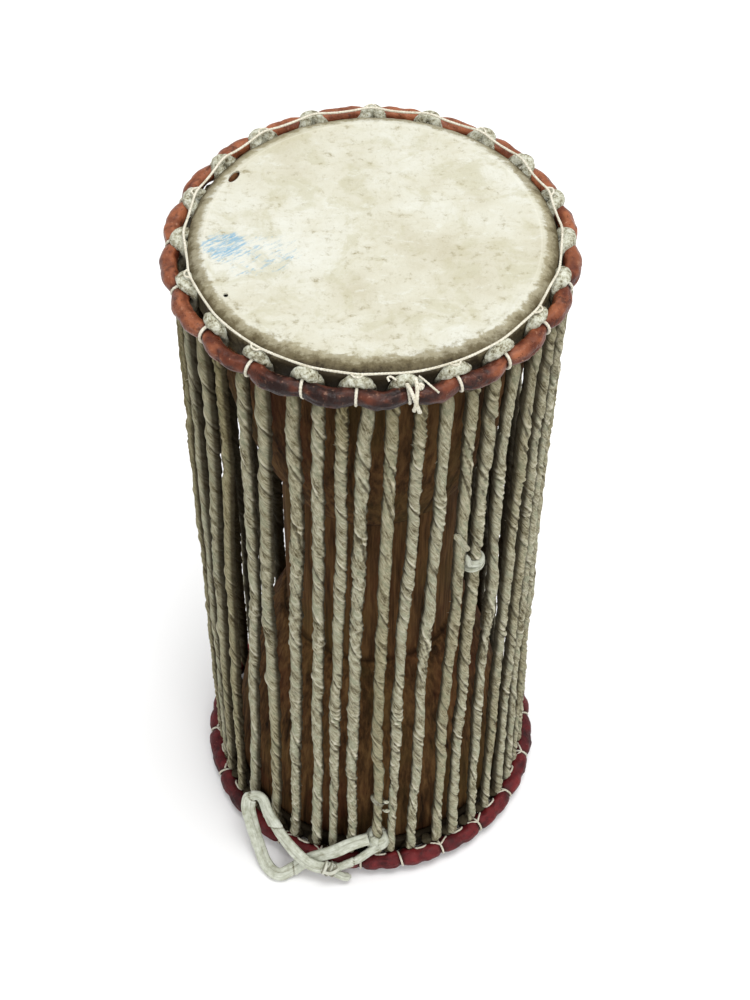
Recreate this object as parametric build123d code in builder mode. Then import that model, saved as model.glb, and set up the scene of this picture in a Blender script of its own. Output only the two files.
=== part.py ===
from build123d import *
import os
from math import cos, pi, radians, sin, sqrt, tan

# Hourglass pressure drum with two laced heads, standing on its bottom head.
# Millimetres, +Z up, origin at the centre of the bottom head's face.

# Driving dimensions
height = 373.5              # from one head's face to the other's
bottom_ring_radius = 82.0   # centre line of the padded ring round the bottom head
bottom_ring_tube = 4.4      # radius of that ring's section
top_ring_radius = 80.4      # the same for the top ring, which is drawn tighter
top_ring_tube = 3.6
ring_depth = 7.6            # from a head's face to the plane of its ring
loop_count = 21             # lace loops round each head
lace_radius = 2.8           # radius of a lace run
lace_end_radius = 78.5      # distance of a run from the axis where it leaves a ring
lace_waist_radius = 76.0    # the same at mid height, where the runs bow inward
lace_half_pitch = 4.2       # degrees from a loop's middle to each of its two runs
lace_lean = -6.0            # degrees that the lacing turns from top to bottom
squeeze_angle = 8.0         # degrees that the hardest pressed run tilts
squeeze_shares = [0.45, 0.8, 1.0, 0.8, 0.45]    # of that angle, across a pressed group
right_group = [3, 4, 5, 6, 7]
left_group = [14, 15, 16, 17, 18]

# Sizes that follow from them
mid = height / 2
lace_depth = ring_depth + bottom_ring_tube + 2.0    # where a run begins, below a head's face
lace_gap = 0.6                                  # between a run's end and its loop
half_run = mid - lace_depth
mid_plane = Plane.XY.offset(mid)

# Shell
rim_inner = (66.5, 3.0)
rim_crown = 67.6
rim_crown_end = 69.3
rim_outer = (70.4, 2.6)
collar_outer = 70.2
collar_depth = 10.0
bowl_middle = (62.0, 75.0)
bowl_foot = (44.5, 131.0)
bowl_inner_start = (65.5, 12.0)
bowl_inner_middle = (55.4, 76.0)
bowl_inner_foot = (36.5, 126.0)
waist_radius = 41.0
waist_bore = 33.0
waist_start = 136.0
waist_bead = [(43.2, 131.8), (43.2, 133.4), (41.8, 134.0)]
head_clearance = 0.95

# Heads
skin = 0.9
head_radius = 74.2
shoulder = 3.3
skirt_end = 12.6
hem_inner = 71.0
hoop_radius = 72.0
hoop_depth = 10.4
hoop_tube = 1.15

# Rings
cover = 0.9
core_gap = 0.1
seam = 0.3
seam_length = 3.4
seam_turn = 135.0
seam_offset = 2.8
stitch_tube = 0.5
stitch_gap = 0.1
stitch_turns = (-125, 0, 115)
twine_radius = 75.7
twine_depth = 0.7
twine_tube = 0.55

# Lace loops
loop_inner_face = 74.5
loop_thickness = 1.9
loop_width = 12.0
loop_slot = 2.8
loop_depth = 1.4
loop_end_depth = 13.4

# The carrying strap's tail, a closed loop of hide at the drum's foot
strap_radius = 3.0
strap_route = [
    (0.5, -84.9, 36.0),
    (-12.5, -85.2, 33.5),
    (-24.0, -82.8, 24.5),
    (-34.2, -82.6, 10.8),
    (-39.0, -86.0, 5.6),
    (-47.0, -91.2, 3.2),
    (-56.0, -84.2, 3.2),
    (-60.5, -73.5, 6.5),
    (-64.0, -61.5, 16.5),
    (-64.5, -57.5, 29.0),
    (-59.5, -61.5, 37.0),
    (-53.0, -67.5, 33.5),
    (-47.0, -73.5, 27.0),
    (-40.5, -81.0, 20.5),
    (-32.0, -89.4, 17.0),
    (-25.5, -93.0, 11.5),
    (-18.0, -92.5, 7.0),
]
knot_place = (-17.0, -92.4, 6.6)
knot_radius = 5.4
wrap_height = 36.0
return_start = (-13.6, -91.0, 11.5)
return_end = (0.4, -85.6, 31.0)
strap_end_start = (-13.0, -94.6, 3.6)
strap_end_tip = (-7.0, -97.6, 3.2)
rod_radius = 2.6

# The knot of the twine round the top head
twine_knot_radius = 1.5
twine_knot_turn = 3.2
twine_knot_depth = 2.4
twine_knot_reach = 80.4


def loop_angle(index):
    """Place of a top lace loop round the head, in degrees, spaced a little unevenly by hand."""
    even = 91.5 - 360 / loop_count * index
    turn = radians(even)
    first = -4.2 * cos(turn) - 1.2 * sin(turn)
    second = -0.5 * cos(2 * turn) + 1.1 * sin(2 * turn)
    return even + first + second + 1.2 * cos(3 * turn)


def bottom_loop_angle(index):
    """Place of the bottom loop that joins this top loop's run to the next one's."""
    next_angle = loop_angle(index + 1)
    return (loop_angle(index) + next_angle) / 2 + lace_lean


def around(radius, angle, z):
    return Vector(radius * cos(radians(angle)), radius * sin(radians(angle)), z)


def run_point(index, side, z):
    """A point on a lace run's middle line: side is -1 or +1, z its height."""
    share = (height - lace_depth - z) / (2 * half_run)
    bow = 1 - (2 * share - 1) ** 2
    radius = lace_end_radius + (lace_waist_radius - lace_end_radius) * bow
    return around(radius, loop_angle(index) + side * lace_half_pitch + lace_lean * share, z)


def save(builder, name):
    builder.part.label = name
    export_step(builder.part, f"parts/{name}.step")


def make_shell():
    with BuildPart() as shell:
        with BuildSketch(Plane.XZ):
            with BuildLine():
                Polyline(
                    bowl_inner_start,
                    rim_inner,
                    (rim_crown, head_clearance),
                    (rim_crown_end, head_clearance),
                    rim_outer,
                    (collar_outer, collar_depth),
                )
                ThreePointArc((collar_outer, collar_depth), bowl_middle, bowl_foot)
                Polyline(
                    bowl_foot,
                    *waist_bead,
                    (waist_radius, waist_start),
                    (waist_radius, mid),
                    (waist_bore, mid),
                    (waist_bore, waist_start),
                    bowl_inner_foot,
                )
                ThreePointArc(bowl_inner_foot, bowl_inner_middle, bowl_inner_start)
            make_face()
        revolve(axis=Axis.Z)
        mirror(about=mid_plane)
    save(shell, "shell")


def bottom_head():
    with BuildPart() as head:
        with BuildSketch(Plane.XZ):
            outer_flat = head_radius - shoulder
            inner_shoulder = shoulder - skin
            diagonal = sqrt(0.5)
            with BuildLine():
                Line((0, 0), (outer_flat, 0))
                ThreePointArc(
                    (outer_flat, 0),
                    (outer_flat + shoulder * diagonal, shoulder - shoulder * diagonal),
                    (head_radius, shoulder),
                )
                Polyline(
                    (head_radius, shoulder),
                    (head_radius, skirt_end),
                    (hem_inner, skirt_end),
                    (hem_inner, skirt_end - skin),
                    (head_radius - skin, skirt_end - skin),
                    (head_radius - skin, shoulder),
                )
                ThreePointArc(
                    (head_radius - skin, shoulder),
                    (outer_flat + inner_shoulder * diagonal, shoulder - inner_shoulder * diagonal),
                    (outer_flat, skin),
                )
                Polyline((outer_flat, skin), (0, skin), (0, 0))
            make_face()
        revolve(axis=Axis.Z)
    return head


def bottom_hoop():
    with BuildPart() as hoop:
        with BuildSketch(Plane.XZ):
            with Locations((hoop_radius, hoop_depth)):
                Circle(hoop_tube)
        revolve(axis=Axis.Z)
    return hoop


def ring_cover(radius, tube):
    """Leather round the padding, with its long seam facing the drum's inside."""
    offset = seam_offset * tube / bottom_ring_tube
    with BuildPart() as ring:
        with BuildSketch(Plane.XZ):
            with Locations((radius, ring_depth)):
                Circle(tube)
                Circle(tube - cover, mode=Mode.SUBTRACT)
            with Locations((radius - offset, ring_depth + offset)):
                Rectangle(seam_length, seam, rotation=seam_turn, mode=Mode.SUBTRACT)
        revolve(axis=Axis.Z)
    return ring


def ring_core(radius, tube):
    with BuildPart() as core:
        with BuildSketch(Plane.XZ):
            with Locations((radius, ring_depth)):
                Circle(tube - cover - core_gap)
        revolve(axis=Axis.Z)
    return core


def bottom_twine():
    with BuildPart() as twine:
        with BuildSketch(Plane.XZ):
            with Locations((twine_radius, twine_depth)):
                Circle(twine_tube)
        revolve(axis=Axis.Z)
    return twine


def ring_stitches(angles, radius, tube):
    """Twine stitches bent over the padded ring, one at each lace loop."""
    stitch_reach = tube + stitch_gap + stitch_tube
    with BuildPart() as stitches:
        for angle in angles:
            radial = Vector(cos(radians(angle)), sin(radians(angle)), 0)
            centre = radial * radius + Vector(0, 0, ring_depth)
            ends = []
            for turn in stitch_turns:
                reach = radial * (stitch_reach * cos(radians(turn)))
                ends.append(centre + reach + Vector(0, 0, stitch_reach * sin(radians(turn))))
            with BuildLine() as bend:
                ThreePointArc(*ends)
            start = Plane(origin=bend.line @ 0, z_dir=bend.line % 0)
            with BuildSketch(start):
                Circle(stitch_tube)
            sweep(path=bend.line)
    return stitches


def bottom_loops(angles):
    """Lace loops standing between the skin and the padded ring."""
    shank = loop_end_depth - loop_depth - loop_width / 2
    with BuildPart() as loops:
        for angle in angles:
            radial = Vector(cos(radians(angle)), sin(radians(angle)), 0)
            sideways = Vector(-sin(radians(angle)), cos(radians(angle)), 0)
            crown = radial * loop_inner_face + Vector(0, 0, loop_depth + loop_width / 2)
            with BuildSketch(Plane(origin=crown, x_dir=sideways, z_dir=radial)):
                Circle(loop_width / 2)
                with Locations((0, shank / 2)):
                    Rectangle(loop_width, shank)
                Circle(loop_slot / 2, mode=Mode.SUBTRACT)
                with Locations((0, shank / 2)):
                    Rectangle(loop_slot, shank, mode=Mode.SUBTRACT)
            extrude(amount=loop_thickness)
    return loops


def save_at_top(builder, name):
    """Write a piece made for the bottom end as its mirror image at the top."""
    with BuildPart() as flipped:
        add(builder.part)
        mirror(about=mid_plane, mode=Mode.REPLACE)
    save(flipped, name)


def save_both_ends(builder, bottom_name, top_name):
    save(builder, bottom_name)
    save_at_top(builder, top_name)


def make_fixed_laces(index, name):
    """The two runs below one top loop, each one gently bowed length."""
    bottom = lace_depth
    with BuildPart() as laces:
        for side in (-1, 1):
            ends = [run_point(index, side, z) for z in (height - lace_depth, mid, bottom)]
            with BuildLine() as bow:
                ThreePointArc(*ends)
            with BuildSketch(Plane(origin=bow.line @ 0, z_dir=bow.line % 0)):
                Circle(lace_radius)
            sweep(path=bow.line)
    save(laces, name)


def make_half_laces(index, name, z_low, z_high):
    """One half of the two runs below a loop that is pressed in when the drum is squeezed."""
    with BuildPart() as laces:
        for side in (-1, 1):
            low = run_point(index, side, z_low)
            high = run_point(index, side, z_high)
            with BuildSketch(Plane(origin=low, z_dir=high - low)):
                Circle(lace_radius)
            extrude(amount=(high - low).length)
    save(laces, name)


def make_moving_laces(group, side_name):
    for place, index in enumerate(group, start=1):
        top = height - lace_depth
        make_half_laces(index, f"{side_name}_lace_upper_{place}", mid + lace_gap, top)
        make_half_laces(index, f"{side_name}_lace_lower_{place}", lace_depth, mid - lace_gap)


def make_sleeve_knot(index, side, z, outer, length, name):
    """A lump of knotted hide round one run."""
    low = run_point(index, side, z - length / 2)
    high = run_point(index, side, z + length / 2)
    with BuildPart() as knot:
        with BuildSketch(Plane(origin=low, z_dir=high - low)):
            Circle(outer)
            Circle(lace_radius + 0.1, mode=Mode.SUBTRACT)
        extrude(amount=(high - low).length)
        outer_edges = knot.edges().filter_by(GeomType.CIRCLE).sort_by(SortBy.RADIUS)[-2:]
        fillet(outer_edges, radius=(outer - lace_radius) * 0.7)
    save(knot, name)


def make_twine_knot():
    """The knot where the twine round the top head is tied off, lying on the ring."""
    place = around(twine_knot_reach, loop_angle(10) + twine_knot_turn, height - twine_knot_depth)
    with BuildPart() as knot:
        with Locations(place):
            Sphere(twine_knot_radius)
    save(knot, "twine_knot")


def arc_radii(points):
    """The largest tangent arc at each inner point that leaves a tenth of its shorter run straight."""
    radii = []
    for before, here, after in zip(points, points[1:], points[2:]):
        arriving = Vector(*here) - Vector(*before)
        leaving = Vector(*after) - Vector(*here)
        half_turn = radians(arriving.get_angle(leaving)) / 2
        radii.append(0.45 * min(arriving.length, leaving.length) / tan(half_turn))
    return radii


def make_strap():
    radii = arc_radii(strap_route)
    print("strap arc radii:", [round(radius, 1) for radius in radii])
    with BuildPart() as strap:
        with BuildLine():
            route = FilletPolyline(*strap_route, radius=radii)
        with BuildSketch(Plane(origin=route @ 0, z_dir=route % 0)):
            Circle(strap_radius)
        sweep(path=route)
    swept = pi * strap_radius**2 * route.length
    print("strap length:", round(route.length, 1), "volume ratio:", round(strap.part.volume / swept, 4))
    save(strap, "tail_strap")


def make_rod(start, end, name):
    start = Vector(*start)
    end = Vector(*end)
    with BuildPart() as rod:
        with BuildSketch(Plane(origin=start, z_dir=end - start)):
            Circle(rod_radius)
        extrude(amount=(end - start).length)
    save(rod, name)


def make_tail_knot():
    with BuildPart() as knot:
        with Locations(knot_place):
            Sphere(knot_radius)
    save(knot, "tail_knot")


os.makedirs("parts", exist_ok=True)
top_angles = [loop_angle(index) for index in range(loop_count)]
bottom_angles = [bottom_loop_angle(index) for index in range(loop_count)]

make_shell()
save_both_ends(bottom_head(), "bottom_head", "top_head")
save_both_ends(bottom_hoop(), "bottom_flesh_hoop", "top_flesh_hoop")
save_both_ends(bottom_twine(), "bottom_hem_twine", "top_hem_twine")

save(ring_cover(bottom_ring_radius, bottom_ring_tube), "bottom_ring_cover")
save(ring_core(bottom_ring_radius, bottom_ring_tube), "bottom_ring_core")
save(ring_stitches(bottom_angles, bottom_ring_radius, bottom_ring_tube), "bottom_ring_stitches")
save(bottom_loops(bottom_angles), "bottom_lace_loops")
save_at_top(ring_cover(top_ring_radius, top_ring_tube), "top_ring_cover")
save_at_top(ring_core(top_ring_radius, top_ring_tube), "top_ring_core")
save_at_top(ring_stitches(top_angles, top_ring_radius, top_ring_tube), "top_ring_stitches")
save_at_top(bottom_loops(top_angles), "top_lace_loops")

for index in range(loop_count):
    if index not in right_group + left_group:
        make_fixed_laces(index, f"lace_runs_{index + 1:02d}")
make_moving_laces(right_group, "right")
make_moving_laces(left_group, "left")

make_sleeve_knot(8, -1, 236.0, 5.2, 13.0, "splice_knot")
make_sleeve_knot(10, -1, 66.0, 4.4, 8.0, "low_lace_knot")
make_sleeve_knot(10, -1, wrap_height, 5.0, 7.0, "strap_wrap")
make_twine_knot()
make_strap()
make_rod(return_start, return_end, "strap_return")
make_rod(strap_end_start, strap_end_tip, "strap_end")
make_tail_knot()
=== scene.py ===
from math import atan2, cos, pi, radians, sin

import bpy
import numpy as np
from mathutils import Matrix, Vector


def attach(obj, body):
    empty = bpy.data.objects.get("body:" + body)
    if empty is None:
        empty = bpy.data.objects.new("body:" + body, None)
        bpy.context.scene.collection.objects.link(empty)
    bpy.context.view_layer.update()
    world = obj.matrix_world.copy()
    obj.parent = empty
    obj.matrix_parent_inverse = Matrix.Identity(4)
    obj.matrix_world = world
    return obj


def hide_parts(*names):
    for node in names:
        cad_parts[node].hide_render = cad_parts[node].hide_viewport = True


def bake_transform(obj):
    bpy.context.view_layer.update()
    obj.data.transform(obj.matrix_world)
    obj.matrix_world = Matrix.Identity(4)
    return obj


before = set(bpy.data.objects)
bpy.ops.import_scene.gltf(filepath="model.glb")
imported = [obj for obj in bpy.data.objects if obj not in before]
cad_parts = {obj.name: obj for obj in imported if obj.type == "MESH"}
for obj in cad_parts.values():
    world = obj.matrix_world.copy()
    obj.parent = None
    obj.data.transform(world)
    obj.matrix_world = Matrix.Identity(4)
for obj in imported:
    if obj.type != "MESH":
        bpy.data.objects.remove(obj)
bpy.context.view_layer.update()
scene = bpy.context.scene
scene.view_settings.view_transform = "Standard"

MM = 0.001

# The same driving sizes as the CAD, in millimetres
height = 373.5
mid = height / 2
top_ring = (80.4, 3.6)
bottom_ring = (82.0, 4.4)
ring_depth = 7.6
ring_mm_per_degree = 1.43
loop_count = 21
lace_radius = 2.8
lace_end_radius = 78.5
lace_waist_radius = 76.0
lace_half_pitch = 4.2
lace_lean = -6.0
lace_depth = 14.0
rear_runs = (0, 1, 2, 19, 20)
left_side, left_belly = 190, 3.0
head_radius = 74.3
half_run = mid - lace_depth
moving_loops = {}
for place, loops in enumerate(zip([3, 4, 5, 6, 7], [14, 15, 16, 17, 18]), start=1):
    moving_loops[loops[0]] = ("right", place)
    moving_loops[loops[1]] = ("left", place)


def loop_angle(index):
    """Place of a top lace loop round the head, in degrees."""
    even = 91.5 - 360 / loop_count * index
    turn = radians(even)
    first = -4.2 * cos(turn) - 1.2 * sin(turn)
    second = -0.5 * cos(2 * turn) + 1.1 * sin(2 * turn)
    return even + first + second + 1.2 * cos(3 * turn)


def bottom_loop_angle(index):
    return (loop_angle(index) + loop_angle(index + 1)) / 2 + lace_lean


def points_at(x, y, z):
    return np.stack(np.broadcast_arrays(x, y, z), -1)


def around(radius, angle, z):
    """Points at a radius, an angle in degrees and a height."""
    turn = np.radians(angle)
    return points_at(radius * np.cos(turn), radius * np.sin(turn), z)


def turn_between(a, b):
    """Signed angle from b to a, in degrees."""
    return (a - b + 180) % 360 - 180


def bump(x, centre, width):
    return np.exp(-(((x - centre) / width) ** 2))


# How far round, in degrees, a cord hangs from its even place: near the top, above the waist,
# below it, and near the foot
lace_drift = {
    (7, -1): (1.6, 2.6, 2.4, 2.2), (7, 1): (1.6, 3.0, 2.6, 2.2), (8, -1): (1.2, 2.0, 1.8, 2.5),
    (8, 1): (-0.2, 2.4, 2.2, 3.2), (9, -1): (2.4, 0.9, 1.6, 1.2), (9, 1): (1.6, 2.7, 2.1, 3.0),
    (10, -1): (0.0, 0.2, 1.2, 3.0), (10, 1): (0.0, -1.2, -0.5, -0.3), (11, -1): (0.4, 0.2, 0.2, 0.5),
    (11, 1): (-1.8, -2.3, -2.1, -1.0), (12, -1): (1.7, 0.0, 0.0, 0.0), (12, 1): (0.0, 0.2, 0.2, 0.8),
    (13, -1): (0.0, 0.0, -3.0, -3.4), (13, 1): (-2.2, -2.9, -0.6, -0.8), (14, -1): (0.0, -3.0, -3.5, -4.5),
    (14, 1): (0.0, -3.5, -5.0, -3.0), (2, 1): (-1.5, -6.5, -5.0, -2.5), (3, 1): (0.8, 2.6, -2.0, -1.5),
    (18, 1): (2.0, 4.4, 3.0, 2.4), (18, -1): (0.4, 2.6, 1.8, 1.2), (2, -1): (-1.0, -4.5, -4.6, -4.2),
    (19, 1): (0.0, 1.2, 1.6, 3.2),
}


def run_line(index, side, z):
    """Middle line of a lace run at these heights."""
    share = (height - lace_depth - z) / (2 * half_run)
    bow = 1 - (2 * share - 1) ** 2
    angle = loop_angle(index) + side * lace_half_pitch + lace_lean * share
    places = (0.0, 0.2, 0.45, 0.7, 0.95, 1.0)
    upper, above, below, foot = lace_drift.get((index, side), (0, 0, 0, 0))
    angle = angle + np.interp(share, places, (0.5 * upper, upper, above, below, foot, foot))
    belly = left_belly * bump(turn_between(angle[0], left_side), 0, 22)
    radius = lace_end_radius + (lace_waist_radius - lace_end_radius + belly) * bow
    return around(radius, angle, z)


# ---------------------------------------------------------------- camera
camera = bpy.data.objects.new("camera", bpy.data.cameras.new("camera"))
scene.collection.objects.link(camera)
camera.data.sensor_width = 36
camera.data.lens = 72.86
camera.matrix_world = (
    Matrix.Translation((0.00151, -0.58457, 0.94005))
    @ Matrix.Rotation(radians(38.44), 4, "X")
    @ Matrix.Rotation(0.0074, 4, "Z")
)
scene.camera = camera

# ---------------------------------------------------------------- the free strap's line
strap_route = [
    (-0.6, -81.6, 30.3), (-9.0, -83.6, 29.2), (-15.8, -84.2, 23.0), (-24.3, -83.6, 16.8),
    (-31.4, -83.4, 11.6), (-36.4, -84.2, 7.4), (-41.2, -85.8, 3.8), (-46.8, -88.4, 3.3),
    (-53.2, -83.2, 3.6), (-56.4, -75.8, 8.8), (-59.6, -70.2, 18.8), (-62.4, -65.0, 30.6),
    (-61.6, -61.4, 38.4), (-54.8, -61.8, 38.6), (-52.2, -68.0, 32.0), (-47.0, -74.4, 26.6),
    (-41.2, -80.6, 21.2), (-35.6, -85.2, 17.2), (-29.8, -87.6, 13.2), (-24.6, -88.4, 11.4),
    (-19.6, -87.8, 10.8),
]


def spline_points(route):
    """Points along a smooth line that starts and ends at the route's ends."""
    curve = bpy.data.curves.new("route", "CURVE")
    curve.dimensions = "3D"
    curve.resolution_u = 24
    spline = curve.splines.new("NURBS")
    spline.points.add(len(route) - 1)
    for point, place in zip(spline.points, route):
        point.co = (*[MM * value for value in place], 1)
    spline.order_u = 3
    spline.use_endpoint_u = True
    holder = bpy.data.objects.new("route", curve)
    line = bpy.data.meshes.new_from_object(holder)
    points = np.array([vertex.co for vertex in line.vertices]) / MM
    bpy.data.objects.remove(holder)
    return points


strap_points = spline_points(strap_route)


# ---------------------------------------------------------------- noise
def smooth(x):
    x = np.clip(x, 0, 1)
    return x * x * (3 - 2 * x)


def scatter(a, b, seed):
    """A fixed random number from -1 to 1 for each pair of whole numbers."""
    wave = np.sin(a * 12.9898 + b * 78.233 + seed * 37.719) * 43758.5453
    return 2 * (wave - np.floor(wave)) - 1


def ripple(x, wavelength, seed):
    """A smooth random wave from -1 to 1."""
    x = np.asarray(x, float) / wavelength
    cell = np.floor(x)
    part = smooth(x - cell)
    return scatter(cell, 0, seed) * (1 - part) + scatter(cell + 1, 0, seed) * part


def grain(u, v, seed, period=0):
    """Smooth random bumps over a plane, repeating in u after a whole period."""
    cu, cv = np.floor(u), np.floor(v)
    pu, pv = smooth(u - cu), smooth(v - cv)
    left, right = (cu % period, (cu + 1) % period) if period else (cu, cu + 1)
    low = scatter(left, cv, seed) * (1 - pu) + scatter(right, cv, seed) * pu
    high = scatter(left, cv + 1, seed) * (1 - pu) + scatter(right, cv + 1, seed) * pu
    return low * (1 - pv) + high * pv


def crust(lap, s, count, length, seed):
    """Smooth bumps over a tube: this many round it, each this long."""
    here = s[:, None] + 0 * lap
    return grain(lap * count + 0 * here, here / length, seed, count)


# ---------------------------------------------------------------- meshes
class Piece:
    """Closed tubes in one mesh that stands for CAD nodes, with values for the materials at every point."""

    def __init__(self, name, nodes=None):
        self.name = name if nodes else name + "_look"
        self.nodes = nodes or (name,)
        self.points, self.faces, self.values, self.total = [], [], {}, 0

    def tube(self, rings, joined=False, **values):
        """A skin over rings with an even number of points; joined closes the tube on itself."""
        count, sides = rings.shape[:2]
        own = np.arange(count * sides).reshape(count, sides)
        ahead = np.roll(own, -1, axis=0) if joined else own[1:]
        start = own if joined else own[:-1]
        quads = np.stack([start, np.roll(start, -1, 1), np.roll(ahead, -1, 1), ahead], -1).reshape(-1, 4)
        if not joined:
            caps = []
            for ring, flip in ((own[0], True), (own[-1], False)):
                for i in range(1, sides // 2):
                    cap = [ring[i - 1], ring[i], ring[sides - i - 1], ring[sides - i]]
                    caps.append(cap[::-1] if flip else cap)
            quads = np.vstack([quads, caps])
        flat = rings.reshape(-1, 3)
        corner = [flat[quads[:, k]] - flat.mean(0) for k in range(4)]
        volume = np.einsum("ij,ij->", corner[0], np.cross(corner[1], corner[2]))
        volume += np.einsum("ij,ij->", corner[0], np.cross(corner[2], corner[3]))
        if volume < 0:
            quads = quads[:, ::-1]
        self.points.append(flat)
        self.faces.append(quads + self.total)
        for key in set(values) | set(self.values):
            width = 3 if key == "strand" else 1
            value = values.get(key, 0.0)
            value = np.broadcast_to(value, (count, sides, 3) if width == 3 else (count, sides))
            store = self.values.setdefault(key, [np.zeros((self.total, width))])
            store.append(value.reshape(-1, width))
        self.total += len(flat)

    def build(self, material, body="root"):
        mesh = bpy.data.meshes.new(self.name)
        mesh.from_pydata(np.vstack(self.points) * MM, [], np.vstack(self.faces))
        mesh.polygons.foreach_set("use_smooth", np.ones(len(mesh.polygons), bool))
        for key, parts in self.values.items():
            data = np.vstack(parts).astype(np.float32)
            kind = "FLOAT_VECTOR" if data.shape[1] == 3 else "FLOAT"
            attribute = mesh.attributes.new(key, kind, "POINT")
            attribute.data.foreach_set("vector" if data.shape[1] == 3 else "value", data.ravel())
        mesh.validate()
        mesh.update()
        obj = bpy.data.objects.new(self.name, mesh)
        scene.collection.objects.link(obj)
        mesh.materials.append(material)
        if body:
            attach(obj, body)
        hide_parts(*self.nodes)
        return obj


def through(points, spacing=0.8):
    """Evenly spaced points on a smooth curve through given ones."""
    p = np.array(points, float)
    p = np.vstack([2 * p[0] - p[1], p, 2 * p[-1] - p[-2]])
    t = np.linspace(0, 1, 24, endpoint=False)[:, None]
    spans = []
    for a, b, c, d in zip(p, p[1:], p[2:], p[3:]):
        spans.append(
            0.5 * (2 * b + (c - a) * t + (2 * a - 5 * b + 4 * c - d) * t**2 + (3 * b - a - 3 * c + d) * t**3)
        )
    return evenly(np.vstack(spans + [p[-2:-1]]), spacing)


def evenly(line, spacing):
    steps = np.r_[0, np.cumsum(np.linalg.norm(np.diff(line, axis=0), axis=1))]
    s = np.linspace(0, steps[-1], max(4, int(round(steps[-1] / spacing)) + 1))
    return np.column_stack([np.interp(s, steps, line[:, k]) for k in range(3)])


def travel(line):
    return np.r_[0, np.cumsum(np.linalg.norm(np.diff(line, axis=0), axis=1))]


def unit(v):
    return v / np.linalg.norm(v, axis=-1, keepdims=True)


def carried_frame(line, side):
    """Two directions across a line, the first starting towards side and carried without twist."""
    along = unit(np.gradient(line, axis=0))
    across = np.zeros_like(line)
    n = np.array(side, float)
    for i, t in enumerate(along):
        n = n - (n @ t) * t
        n = n / np.linalg.norm(n)
        across[i] = n
    return across, np.cross(along, across)


def outward_frame(line):
    """Directions along a line, away from the drum's axis, and across both."""
    along = unit(np.gradient(line, axis=0))
    out = line * np.array([1, 1, 0])
    out = unit(out - np.sum(out * along, 1, keepdims=True) * along)
    return along, out, np.cross(along, out)


def ring_points(line, out, across, reach, angles, flat=1.0):
    """Points round each place of a line: reach away at the angles; flat scales the second direction."""
    reach = np.broadcast_to(reach, np.broadcast_shapes(np.shape(reach), angles.shape))
    return (
        line[:, None]
        + (reach * np.cos(angles))[..., None] * out[:, None]
        + (reach * np.sin(angles) * flat)[..., None] * across[:, None]
    )


# ---------------------------------------------------------------- materials
def shade(red, green, blue):
    """The linear colour for display values from 0 to 255."""
    linear = [((v / 255 + 0.055) / 1.055) ** 2.4 if v > 10 else v / 255 / 12.92 for v in (red, green, blue)]
    return (*linear, 1.0)


class Finish:
    """A short way to write a node material."""

    def __init__(self, name, roughness, specular):
        self.material = bpy.data.materials.new(name)
        self.material.use_nodes = True
        self.tree = self.material.node_tree
        self.shader = self.tree.nodes["Principled BSDF"]
        self.shader.inputs["Roughness"].default_value = roughness
        self.shader.inputs["Specular IOR Level"].default_value = specular
        self.normal = {}

    def node(self, kind, inputs, output=0, **settings):
        node = self.tree.nodes.new("ShaderNode" + kind)
        for key, value in settings.items():
            setattr(node, key, value)
        for key, value in inputs.items():
            self.feed(node.inputs[key], value)
        return node.outputs[output]

    def feed(self, socket, value):
        if isinstance(value, bpy.types.NodeSocket):
            self.tree.links.new(value, socket)
        else:
            socket.default_value = shade(*value) if socket.type == "RGBA" else value

    def attribute(self, name, vector=False):
        return self.node("Attribute", {}, "Vector" if vector else "Fac", attribute_name=name)

    def place(self):
        return self.node("TexCoord", {}, "Object")

    def scaled(self, vector, scale):
        return self.node("Mapping", {"Vector": vector, "Scale": scale})

    def noise(self, vector, scale, detail, rough, twist=0.0):
        return self.node(
            "TexNoise",
            {"Vector": vector, "Scale": scale, "Detail": detail, "Roughness": rough, "Distortion": twist},
        )

    def math(self, operation, a, b):
        return self.node("Math", {0: a, 1: b}, operation=operation)

    def between(self, value, low, high):
        """Value moved from low..high to 0..1, smoothly."""
        return self.node(
            "MapRange", {"Value": value, "From Min": low, "From Max": high}, interpolation_type="SMOOTHSTEP"
        )

    def mix(self, factor, a, b, blend="MIX"):
        return self.node("Mix", {0: factor, 6: a, 7: b}, 2, data_type="RGBA", blend_type=blend)

    def times(self, a, b):
        return self.math("MULTIPLY", a, b)

    def joined(self, first, share, second, other_share):
        return self.math("ADD", self.times(first, share), self.times(second, other_share))

    def ruffled(self, value, noise, amount):
        """A value pushed up and down by a noise."""
        return self.math("ADD", value, self.times(self.math("SUBTRACT", noise, 0.5), amount))

    def ramp(self, factor, *stops):
        """The base colour, from stops in display values or, with four numbers, in linear ones."""
        node = self.tree.nodes.new("ShaderNodeValToRGB")
        elements = node.color_ramp.elements
        while len(elements) < len(stops):
            elements.new(0.5)
        for element, (position, colour) in zip(elements, stops):
            element.position = position
            element.color = colour if len(colour) == 4 else shade(*colour)
        self.feed(node.inputs[0], factor)
        self.base = node.outputs[0]

    def cover(self, amount, colour):
        self.base = self.mix(amount, self.base, colour)

    def wash(self, value, low, high, amount, colour):
        """Some of a colour over the base where value goes from low to high."""
        self.cover(self.times(self.between(value, low, high), amount), colour)

    def roughness(self, value, share, least):
        self.feed(self.shader.inputs["Roughness"], self.math("ADD", self.times(value, share), least))

    def relief(self, height_value, distance, strength):
        """A layer of bumps over the layers laid before it."""
        inputs = {"Height": height_value, "Distance": distance, "Strength": strength, **self.normal}
        self.normal = {"Normal": self.node("Bump", inputs)}
        self.feed(self.shader.inputs["Normal"], self.normal["Normal"])

    def done(self):
        self.feed(self.shader.inputs["Base Color"], self.base)
        return self.material


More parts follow.
